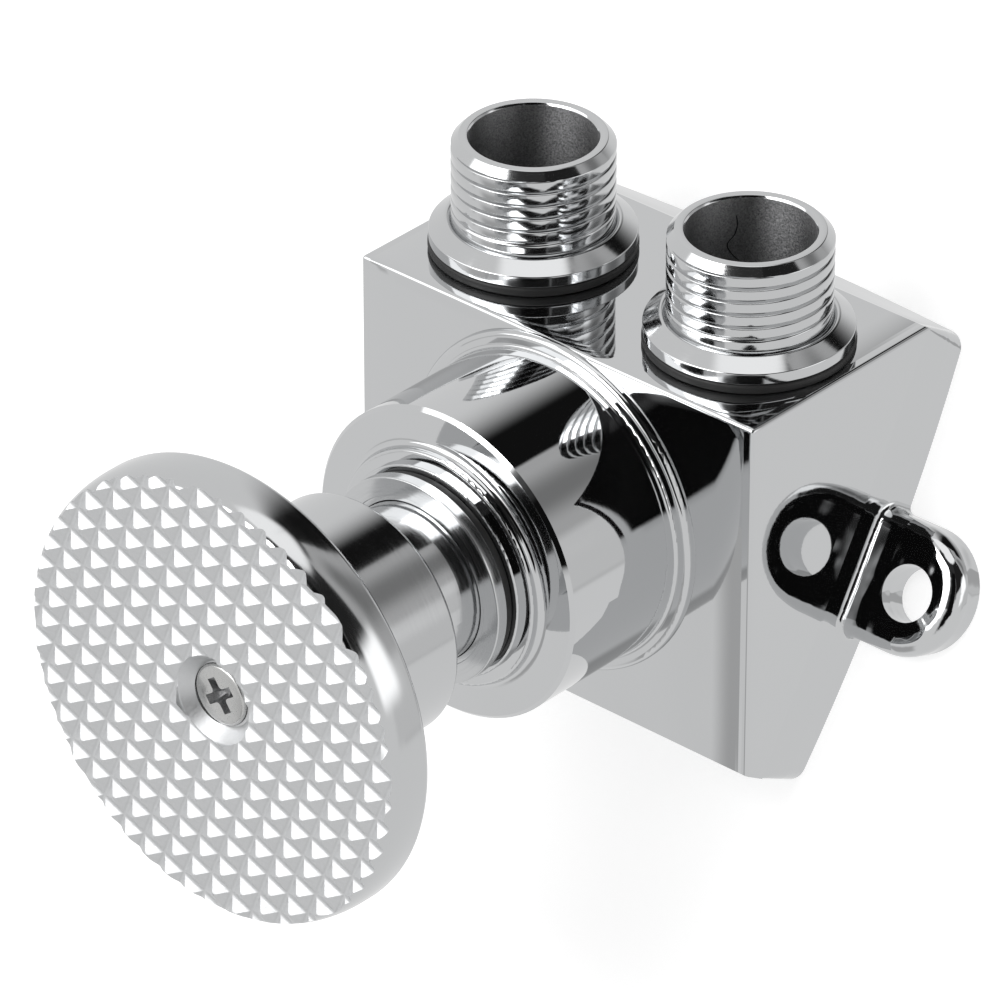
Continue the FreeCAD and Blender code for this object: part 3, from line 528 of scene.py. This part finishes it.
# Nipples

THREAD_RADIUS = 10.4775
THREAD_PITCH = 1.814
THREAD_START = 5.35
THREAD_END = 14.9
GROOVE_DEPTH = 0.5
CREST_SHARE = 0.66
CREST_DROP = 0.03
# The groove grows to its full depth over this many turns above the flange.
FADE_TURNS = 0.6
# Lines of points along the thread, in turns from the middle of a crest: closer together in the groove.
THREAD_LINES = (-0.33, -0.2, 0.0, 0.2, 0.33, 0.37, 0.41, 0.455, 0.5, 0.545, 0.59, 0.63)
NIPPLE_SEGMENTS = 160
# Points of the thread that lie closer than this run out into one.
SEAM_GAP = 1e-4

# Sections over the casting's top face, as rounded() takes them: from the spigot's end over the flange to
# the thread, and from the thread over the tip and down the bore.
NIPPLE_OUTSIDE = [
    (6.2, -9.0), (8.3, -9.0, 0.3), (8.3, 1.35), (13.3, 1.35, 0.2), (13.3, 2.87, 0.22), (10.75, 4.65, 0.6),
]
NIPPLE_INSIDE = [
    (10.42, 15.0), (9.45, 16.0, 0.22), (8.42, 16.0, 0.12), (8.2, 15.7, 0.1, 2), (8.2, 4.0, 0.0, 2),
    (6.2, 4.0, 0.0, 2),
]
NIPPLE_SEAL = [(10.8, 0.02, 0.3), (13.42, 0.02, 0.45), (13.42, 1.33, 0.45), (10.8, 1.33, 0.3)]


def thread_cut(turns_along):
    """Depth below the crest of a thread whose buffed crests have become broad, slightly rounded bands
    with narrow grooves between them. Whole numbers are the middles of the crests."""
    from_crest = abs(turns_along - round(turns_along)) * 2
    if from_crest < CREST_SHARE:
        return CREST_DROP * (from_crest / CREST_SHARE) ** 2
    flank = (from_crest - CREST_SHARE) / (1 - CREST_SHARE)
    return CREST_DROP + (GROOVE_DEPTH - CREST_DROP) * (3 * flank ** 2 - 2 * flank ** 3)


def thread_point(along, turn):
    """Radius and height of a line along the thread after a share of a turn. The line runs out above the
    flange and into the chamfer at the tip."""
    height = min(max(THREAD_START + (along + turn) * THREAD_PITCH, THREAD_START), THREAD_END)
    held = (height - THREAD_START) / THREAD_PITCH - turn
    fade_in = min((height - THREAD_START) / (FADE_TURNS * THREAD_PITCH), 1.0)
    return THREAD_RADIUS - thread_cut(held) * fade_in, height


def nipple(side, name, bore):
    """Turned nipple with a pipe thread, a coned flange and a plain spigot below the casting's face."""
    # Each line round the nipple gives its radius and height after a share of a turn, and its finish.
    lines = [(lambda turn, point=point: point, finish) for point, finish in rounded(NIPPLE_OUTSIDE)]
    first_line = len(lines)
    for turns in range(-1, math.ceil((THREAD_END - THREAD_START) / THREAD_PITCH) + 1):
        for line in THREAD_LINES:
            lines.append((lambda turn, along=turns + line: thread_point(along, turn), 1))
    last_line = len(lines) - 1
    lines += [(lambda turn, point=point: point, finish) for point, finish in rounded(NIPPLE_INSIDE)]

    mesh = bmesh.new()
    rings = []
    for place_of, _ in lines:
        ring = []
        for segment in range(NIPPLE_SEGMENTS):
            angle = 2 * math.pi * segment / NIPPLE_SEGMENTS
            radius, height = place_of(segment / NIPPLE_SEGMENTS)
            ring.append(mesh.verts.new((radius * math.cos(angle), radius * math.sin(angle), height)))
        rings.append(ring)

    def after(number, segment):
        """Next point round a ring. After a full turn a line of the thread meets its next turn."""
        if segment + 1 < NIPPLE_SEGMENTS:
            return rings[number][segment + 1]
        if first_line <= number <= last_line:
            number = min(number + len(THREAD_LINES), last_line)
        return rings[number][0]

    for number, (_, finish) in enumerate(lines):
        above = (number + 1) % len(rings)
        for segment in range(NIPPLE_SEGMENTS):
            face = dict.fromkeys((
                rings[number][segment], after(number, segment), after(above, segment), rings[above][segment],
            ))
            if len(face) > 2:
                mesh.faces.new(face).material_index = finish
    bmesh.ops.remove_doubles(mesh, verts=mesh.verts, dist=SEAM_GAP)
    bmesh.ops.recalc_face_normals(mesh, faces=mesh.faces)
    place = Vector((side * NIPPLE_SPREAD, NIPPLE_SETBACK, TOP_FACE))
    mesh.transform(Matrix.Translation(place))
    foot = VALVE_AXES @ place
    turned = make_material(
        name + "_turned_chrome", turned_chrome,
        foot=foot, direction=NIPPLE_DIRECTION, pitch=0.3, depth=0.0025, roughness=0.09,
    )
    threaded = make_material(
        name + "_threaded_chrome", turned_chrome,
        foot=foot, direction=NIPPLE_DIRECTION, pitch=0.25, depth=0.0015, roughness=0.10,
    )
    piece_from(mesh, name + "_turned", [turned, threaded, bore], "housing", name)


def nipple_seal(side, name):
    """Rubber ring squeezed between the nipple's flange and the casting, bulging a little."""
    ring = lathe(NIPPLE_SEAL, segments=144, upright=True)
    ring.transform(Matrix.Translation((side * NIPPLE_SPREAD, NIPPLE_SETBACK, TOP_FACE)))
    piece_from(ring, name + "_moulded", [RUBBER], "housing", name)


# Pedal

PEDAL_FACE = -63.4
KNURL_PITCH = 3.61
KNURL_DEPTH = 0.9
KNURL_TURN = math.radians(22)
KNURL_REACH = 31.0
# Half widths of a ridge's flat top and of a groove's floor, and how far their edges are rounded.
RIDGE_TOP = 0.15
RIDGE_ROUND = 0.14
GROOVE_FLOOR = 0.2
FLOOR_ROUND = 0.16
# Lines of points across half a pitch, from the middle of a ridge to the middle of a groove.
KNURL_LINES = (0.0, 0.08, 0.16, 0.29, 1.46, 1.6, 1.7, KNURL_PITCH / 2)
# Uneven wear over the face: its depth, and for each set of grooves the radians a millimetre of its waves
# and where they start.
WEAR_DEPTH = 0.02
WEAR_WAVES = ((0.31, 1.0), (0.27, 2.0))
KNURL_BLOCK = 2.0

RIM_RADIUS = 28.7
RIM_REACH = 1.65
RIM_BACK = -58.6
RIM_DEPTH = 4.8
RIM_STEPS = 16
DISC_BACK = -56.4
HUB_RADIUS = 16.1
HUB_END = -35.3
SOCKET_RADIUS = 10.8
SOCKET_FLOOR = -43.3
SCREW_HOLE = 2.55

# The dish and the screw's recess are cut in from a little in front of the face.
CUT_FROM = PEDAL_FACE - 3
DISH_RADIUS = 6.0
DISH_FLOOR = -60.4
DISH_SHIFT = (0.5, 0, 0.35)
RECESS_RADIUS = 4.18
SCREW_TOP = -60.95
SCREW_SEAT = -59.2
SCREW_END = -37.2
SCREW_HEAD = 4.1
SCREW_SHANK = 2.5
CROSS_TURN = math.radians(35)

# Sections of the pedal from its rim's inner face over the hub to the plunger's socket, of what is cut out
# for the screw, and of the screw.
PEDAL_BACK = [
    (RIM_RADIUS + RIM_REACH, DISC_BACK, 0.9), (HUB_RADIUS, DISC_BACK, 1.2), (HUB_RADIUS, HUB_END, 0.8),
    (SOCKET_RADIUS, HUB_END, 0.2), (SOCKET_RADIUS, SOCKET_FLOOR), (SCREW_HOLE, SOCKET_FLOOR),
]
DISH = [
    (0, CUT_FROM, 0, 1), (DISH_RADIUS, CUT_FROM), (DISH_RADIUS, PEDAL_FACE + 0.8, 0.6),
    (4.35, DISH_FLOOR, 0.3), (0, DISH_FLOOR),
]
RECESS = [(0, CUT_FROM), (RECESS_RADIUS, CUT_FROM), (RECESS_RADIUS, SCREW_SEAT), (0, SCREW_SEAT)]
SCREW = [
    (0, SCREW_TOP), (SCREW_HEAD, SCREW_TOP, 0.45), (SCREW_HEAD, SCREW_SEAT, 0.1),
    (SCREW_SHANK, SCREW_SEAT), (SCREW_SHANK, SCREW_END, 0.4), (0, SCREW_END),
]
# Sections of the screw's cross recess: how far below the head's face, the reach of an arm, half its
# width, and the rounding in the inner corners.
CROSS_SECTIONS = (
    (-0.2, 2.5, 0.7, 0.45), (0.0, 2.4, 0.65, 0.42), (1.05, 1.6, 0.42, 0.35), (1.5, 0.5, 0.25, 0.15),
)
# How much of the rounding the middle point of an inner corner keeps.
CORNER_BITE = 0.3


def groove_depth(place):
    """Depth below the face of one set of knurl grooves, with a narrow round floor and a small round
    top between two of them. Whole pitches are tops."""
    from_top = abs(place / KNURL_PITCH - round(place / KNURL_PITCH)) * KNURL_PITCH
    slope = KNURL_DEPTH / (KNURL_PITCH / 2 - RIDGE_TOP - GROOVE_FLOOR)
    depth = slope * (from_top - RIDGE_TOP)
    top_blend = max(RIDGE_ROUND - abs(from_top - RIDGE_TOP), 0.0) ** 2 / (4 * RIDGE_ROUND)
    floor_place = KNURL_PITCH / 2 - GROOVE_FLOOR
    floor_blend = max(FLOOR_ROUND - abs(from_top - floor_place), 0.0) ** 2 / (4 * FLOOR_ROUND)
    return min(max(depth, 0.0), KNURL_DEPTH) + slope * (top_blend - floor_blend)


def knurl_cutter():
    """Block in front of the pedal's face whose near side is the knurl's crossed grooves."""
    steps = sorted({round(value, 4) for line in KNURL_LINES for value in (line, KNURL_PITCH - line)})[:-1]
    pitches = math.ceil(KNURL_REACH / KNURL_PITCH)
    lines = [pitch * KNURL_PITCH + step for pitch in range(-pitches, pitches) for step in steps]
    lines.append(pitches * KNURL_PITCH)
    (u_wave, u_start), (v_wave, v_start) = WEAR_WAVES
    mesh = bmesh.new()
    grid = []
    for u in lines:
        row = []
        for v in lines:
            depth = max(groove_depth(u), groove_depth(v))
            wear = WEAR_DEPTH * math.sin(u * u_wave + u_start) * math.sin(v * v_wave + v_start)
            x = u * math.cos(KNURL_TURN) + v * math.sin(KNURL_TURN)
            z = -u * math.sin(KNURL_TURN) + v * math.cos(KNURL_TURN)
            row.append(mesh.verts.new((x, PEDAL_FACE + depth + wear, z)))
        grid.append(row)
    count = len(lines)
    for i in range(count - 1):
        for j in range(count - 1):
            corners = [grid[i][j], grid[i + 1][j], grid[i + 1][j + 1], grid[i][j + 1]]
            # The fold between the two triangles runs down the pyramid's edge, not across it.
            falling = [lines[number] % KNURL_PITCH < KNURL_PITCH / 2 for number in (i, j)]
            if falling[0] != falling[1]:
                corners = corners[1:] + corners[:1]
            mesh.faces.new((corners[0], corners[1], corners[2]))
            mesh.faces.new((corners[0], corners[2], corners[3]))
    outline = [grid[i][0] for i in range(count)] + [grid[-1][j] for j in range(1, count)]
    outline += [grid[i][-1] for i in range(count - 2, -1, -1)] + [grid[0][j] for j in range(count - 2, 0, -1)]
    front = [mesh.verts.new((vert.co.x, PEDAL_FACE - KNURL_BLOCK, vert.co.z)) for vert in outline]
    for number in range(len(outline)):
        following = (number + 1) % len(outline)
        mesh.faces.new((outline[number], outline[following], front[following], front[number]))
    mesh.faces.new(front)
    bmesh.ops.recalc_face_normals(mesh, faces=mesh.faces)
    for face in mesh.faces:
        face.material_index = 1
    return mesh


def pedal():
    """Knurled disc with a plain rim, and the hub behind it, in one turned piece."""
    rim = [
        (RIM_RADIUS + RIM_REACH * math.sin(turn), RIM_BACK - RIM_DEPTH * math.cos(turn))
        for turn in (math.radians(90 * step / RIM_STEPS) for step in range(RIM_STEPS + 1))
    ]
    body = lathe([(SCREW_HOLE, PEDAL_FACE), *rim, *PEDAL_BACK], segments=256)
    dish = lathe(DISH, segments=96)
    dish.transform(Matrix.Translation(DISH_SHIFT))
    mesh = cut_away(body, [knurl_cutter(), dish, lathe(RECESS, segments=96)])
    piece_from(mesh, "pedal_knurled", [SATIN, KNURL], "pedal_group", "pedal")


def cross_cutter():
    """Tapered cross with rounded inner corners. Its faces take the second finish, whose dark grey paints
    shade into the screw's cross recess.
    """
    mesh = bmesh.new()
    rings = []
    for depth, reach, half, corner in CROSS_SECTIONS:
        bitten = half + corner * CORNER_BITE
        arm = [(reach, -half), (reach, half)]
        inner_corner = [(half + corner, half), (bitten, bitten), (half, half + corner)]
        ring = []
        for number in range(4):
            turn = CROSS_TURN + math.radians(90 * number)
            for x, z in arm + inner_corner:
                ring.append(mesh.verts.new((
                    x * math.cos(turn) - z * math.sin(turn), SCREW_TOP + depth,
                    x * math.sin(turn) + z * math.cos(turn),
                )))
        rings.append(ring)
    for first, second in zip(rings, rings[1:]):
        for number in range(len(first)):
            following = (number + 1) % len(first)
            mesh.faces.new((first[number], first[following], second[following], second[number]))
    mesh.faces.new(rings[0])
    mesh.faces.new(rings[-1])
    bmesh.ops.recalc_face_normals(mesh, faces=mesh.faces)
    for face in mesh.faces:
        face.material_index = 1
    return mesh


def pedal_screw():
    """Cross-recessed screw with a low round-edged head."""
    mesh = cut_away(lathe(SCREW, segments=96), [cross_cutter()])
    # The cross recess takes the bores' dark dull metal, as painted shade in the recess.
    piece_from(mesh, "pedal_screw_turned", [STEEL, BORE], "pedal_group", "pedal_screw")


# Gland and return spring

GLAND_BUSH = [
    (10.81, -25.7, 0.1), (11.5, -25.7), (11.55, -26.0, 0.1), (14.0, -26.0, 0.18),
    (14.0, -24.3, 0.15), (12.5, -24.3), (12.5, -6.3, 0.3), (10.81, -6.3, 0.2),
]
GLAND_SEAL = [(12.6, -24.28), (13.65, -24.28, 0.3), (13.65, -22.92, 0.3), (12.6, -22.92)]


def gland_bush():
    """Screwed bush: a flat flange with a small counterbore round the plunger."""
    piece_from(lathe(GLAND_BUSH), "gland_bush_turned", [TURNED], "housing", "gland_bush")


def gland_seal():
    """Rubber ring squeezed behind the bush's flange, sunk a little below it."""
    piece_from(lathe(GLAND_SEAL), "gland_seal_moulded", [RUBBER], "housing", "gland_seal")


def return_spring():
    """The spring's coils as the CAD has them, on a mesh of their own. On the valve they close up against the
    seat's ring as the pedal goes in; here they keep the CAD's shape.
    """
    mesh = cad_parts["return_spring"].data.copy()
    mesh.name = "return_spring_coiled"
    mesh.materials.clear()
    mesh.materials.append(STEEL)
    spring = bpy.data.objects.new("return_spring_coiled", mesh)
    bpy.context.scene.collection.objects.link(spring)
    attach(spring, "housing")
    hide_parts("return_spring")
    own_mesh(spring)


for side, name, bore in ((-1, "inlet_nipple", BORE), (1, "outlet_nipple", MARKED_BORE)):
    nipple(side, name, bore)
    nipple_seal(side, name + "_seal")
pedal()
pedal_screw()
gland_bush()
gland_seal()
return_spring()


# Carried-over nodes

NODE_MATERIALS = {
    "valve_body": CHROME,
    "plunger": SATIN,
    "plunger_ring_outer": RUBBER,
    "plunger_ring_inner": RUBBER,
    "spring_washer": STEEL,
    "seat_insert": BRASS,
    "seat_gasket": FIBRE,
    "poppet_disc": RUBBER,
    "poppet_cup": BRASS,
    "poppet_washer": BRASS,
    "poppet_nut": BRASS,
}
for node, material in NODE_MATERIALS.items():
    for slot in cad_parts[node].material_slots:
        slot.material = material


# Studio

# What the polished metal mirrors: pale surroundings with a bright softbox in front on the left, and dark
# screens on the camera's side and behind. Each panel has its azimuths and elevations in degrees on the
# valve's axes, its brightness, and the softness of its edges. Azimuth 0 is the pedal's side, and 90 is
# +X. Later panels cover earlier ones.
SURROUNDINGS_LEVEL = 0.85
PANELS = (
    ((-36, -5), (-62, -27), 0.5, 14),       # shade under the pedal's side
    ((-50, -45), (-25, 15), 0.62, 3),       # narrow grey strip on the left
    ((-62, 12), (14, 54), 2.2, 3),          # the softbox
    ((12, 30), (22, 46), 0.10, 12),         # dark edge on its right
    ((-12, 62), (44, 76), 0.04, 5),         # dark screen over the camera
    ((60, 125), (26, 68), 0.02, 5),         # dark screen on the right
    ((130, 207), (20, 84), 0.008, 30),      # dark screen behind
    ((-180, 180), (70, 92), 1.3, 6),        # bright ceiling
    ((118, 162), (-16, 66), 0.52, 3),       # grey card at the back on the right
    ((131, 149), (26, 56), 0.24, 14),       # shade in the card's middle
    ((108, 146), (-16, 14), 0.74, 6),       # paler foot of the card
    ((94, 126), (3, 30), 1.7, 10),          # small bright card on the right
    ((24, 50), (-3, 50), 0.006, 12),        # black cloth on the camera's side, which is soft on its left
    ((30, 60), (-3, 56), 0.006, 3),         # and sharp on its right
)
# Light that matt surfaces get from all sides, and the floor's own glow for the camera.
AMBIENT_LEVEL = 0.55
FLOOR_GLOW = 0.62
# Half the floor's width, in metres.
FLOOR_REACH = 6.0

# The lamp's azimuth and elevation, then its distance and size in metres, and its power in watts.
SOFTBOX_SIDE = (-13, 40)
SOFTBOX_DISTANCE = 1.1
SOFTBOX_SIZE = (0.7, 0.6)
SOFTBOX_POWER = 5.0

# The camera's place on the valve's axes, the azimuth and elevation that it looks from, and its lens and
# film, as fitted to the photograph.
CAMERA_PLACE = (601.41, -683.41, 556.52)
CAMERA_SIDE = (41.763, 31.444)
CAMERA_LENS = 305.69
CAMERA_FILM = 36.0


def panel_mask(tree, angle, first, last, softness):
    """1 between two angles and 0 outside them, with soft edges, all in degrees."""
    middle, half = (first + last) / 2, (last - first) / 2
    offset = add_node(tree, "ShaderNodeMath", {"operation": "SUBTRACT"}, {0: angle, 1: middle})
    turn = add_node(tree, "ShaderNodeMath", {"operation": "WRAP"}, {0: offset, 1: 180.0, 2: -180.0})
    away = add_node(tree, "ShaderNodeMath", {"operation": "ABSOLUTE"}, {0: turn})
    return add_node(tree, "ShaderNodeMapRange", {"interpolation_type": "SMOOTHSTEP"}, {
        "Value": away, "From Min": half + softness / 2, "From Max": half - softness / 2,
    })


def surroundings(tree):
    """Brightness of the surroundings in each direction."""
    direction = add_node(tree, "ShaderNodeTexCoord").outputs["Generated"]
    across, outwards, upwards = [
        add_node(tree, "ShaderNodeVectorMath", {"operation": "DOT_PRODUCT"}, {0: direction, 1: axis})
        for axis in (ACROSS, -BARREL_DIRECTION, NIPPLE_DIRECTION)
    ]
    turn = add_node(tree, "ShaderNodeMath", {"operation": "ARCTAN2"}, {0: across, 1: outwards})
    rise = add_node(tree, "ShaderNodeMath", {"operation": "ARCSINE"}, {0: upwards})
    azimuth, elevation = [
        add_node(tree, "ShaderNodeMath", {"operation": "DEGREES"}, {0: angle}) for angle in (turn, rise)
    ]
    level = SURROUNDINGS_LEVEL
    for azimuths, elevations, brightness, softness in PANELS:
        wide = panel_mask(tree, azimuth, *azimuths, softness)
        high = panel_mask(tree, elevation, *elevations, softness)
        inside = add_node(tree, "ShaderNodeMath", {"operation": "MULTIPLY"}, {0: wide, 1: high})
        level = add_node(tree, "ShaderNodeMix", inputs={"Factor": inside, "A": level, "B": brightness})
    return level


def add_world():
    """White background for the camera, the studio's panels for reflections, plain light for the rest."""
    world = bpy.data.worlds.new("studio_surroundings")
    bpy.context.scene.world = world
    world.use_nodes = True
    world.cycles.sampling_method = "NONE"
    tree = world.node_tree
    tree.nodes.clear()
    path = add_node(tree, "ShaderNodeLightPath")
    mirrored = add_node(tree, "ShaderNodeMath", {"operation": "MAXIMUM"}, {
        0: path.outputs["Is Glossy Ray"], 1: path.outputs["Is Transmission Ray"],
    })
    unseen = add_node(tree, "ShaderNodeMix", inputs={
        "Factor": mirrored, "A": AMBIENT_LEVEL, "B": surroundings(tree),
    })
    strength = add_node(tree, "ShaderNodeMix", inputs={
        "Factor": path.outputs["Is Camera Ray"], "A": unseen, "B": 1.0,
    })
    background = add_node(tree, "ShaderNodeBackground", inputs={
        "Color": hex_colour("#FFFFFF"), "Strength": strength,
    })
    add_node(tree, "ShaderNodeOutputWorld", inputs={"Surface": background})


def add_floor():
    """Matt white floor under the mounting face, which keeps the object's shadow. For the camera it
    glows a little, so that it meets the white background. The panels above stand in for it in the
    reflections."""
    mesh = bpy.data.meshes.new("studio_floor")
    corners = [(x * FLOOR_REACH, y * FLOOR_REACH, 0) for x, y in ((-1, -1), (1, -1), (1, 1), (-1, 1))]
    mesh.from_pydata(corners, [], [(0, 1, 2, 3)])
    material = bpy.data.materials.new("matt_white_paper")
    material.use_nodes = True
    tree = material.node_tree
    tree.nodes.clear()
    matt = add_node(tree, "ShaderNodeBsdfDiffuse", inputs={"Color": hex_colour("#D8D8D8")})
    path = add_node(tree, "ShaderNodeLightPath")
    strength = add_node(tree, "ShaderNodeMath", {"operation": "MULTIPLY"}, {
        0: path.outputs["Is Camera Ray"], 1: FLOOR_GLOW,
    })
    glow = add_node(tree, "ShaderNodeEmission", inputs={"Strength": strength})
    both = add_node(tree, "ShaderNodeAddShader", inputs={0: matt, 1: glow})
    add_node(tree, "ShaderNodeOutputMaterial", inputs={"Surface": both})
    mesh.materials.append(material)
    floor = bpy.data.objects.new("studio_floor", mesh)
    floor.visible_glossy = False
    bpy.context.scene.collection.objects.link(floor)


def valve_direction(azimuth, elevation):
    """Unit vector in the part's frame, from angles in degrees on the valve's axes. Azimuth turns from
    the front, -Y, towards +X."""
    turn, rise = math.radians(azimuth), math.radians(elevation)
    local = Vector((math.sin(turn) * math.cos(rise), -math.cos(turn) * math.cos(rise), math.sin(rise)))
    return (VALVE_AXES.to_3x3() @ local).normalized()


def facing(place, away):
    """Matrix at a place whose -Z looks against a direction, with the nipples' direction upright."""
    across = NIPPLE_DIRECTION.cross(away).normalized()
    upright = away.cross(across)
    return Matrix.Translation(place) @ Matrix((across, upright, away)).transposed().to_4x4()


def add_softbox():
    """Rectangular lamp, which stands inside the bright panel."""
    light = bpy.data.lights.new("front_softbox", "AREA")
    light.shape = "RECTANGLE"
    light.size, light.size_y = SOFTBOX_SIZE
    light.energy = SOFTBOX_POWER
    lamp = bpy.data.objects.new("front_softbox", light)
    away = valve_direction(*SOFTBOX_SIDE)
    lamp.matrix_world = facing(BARREL_FOOT + away * SOFTBOX_DISTANCE, away)
    bpy.context.scene.collection.objects.link(lamp)


def add_camera():
    """Camera at the photograph's place: the valve's nipples upright in the picture."""
    camera = bpy.data.cameras.new("photo_camera")
    camera.sensor_width = CAMERA_FILM
    camera.lens = CAMERA_LENS
    camera.clip_start = 0.05
    camera.clip_end = 30.0
    holder = bpy.data.objects.new("photo_camera", camera)
    holder.matrix_world = facing(VALVE_AXES @ Vector(CAMERA_PLACE), valve_direction(*CAMERA_SIDE))
    bpy.context.scene.collection.objects.link(holder)
    bpy.context.scene.camera = holder


add_floor()
add_world()
add_camera()
add_softbox()

bpy.context.scene.view_settings.view_transform = "Standard"
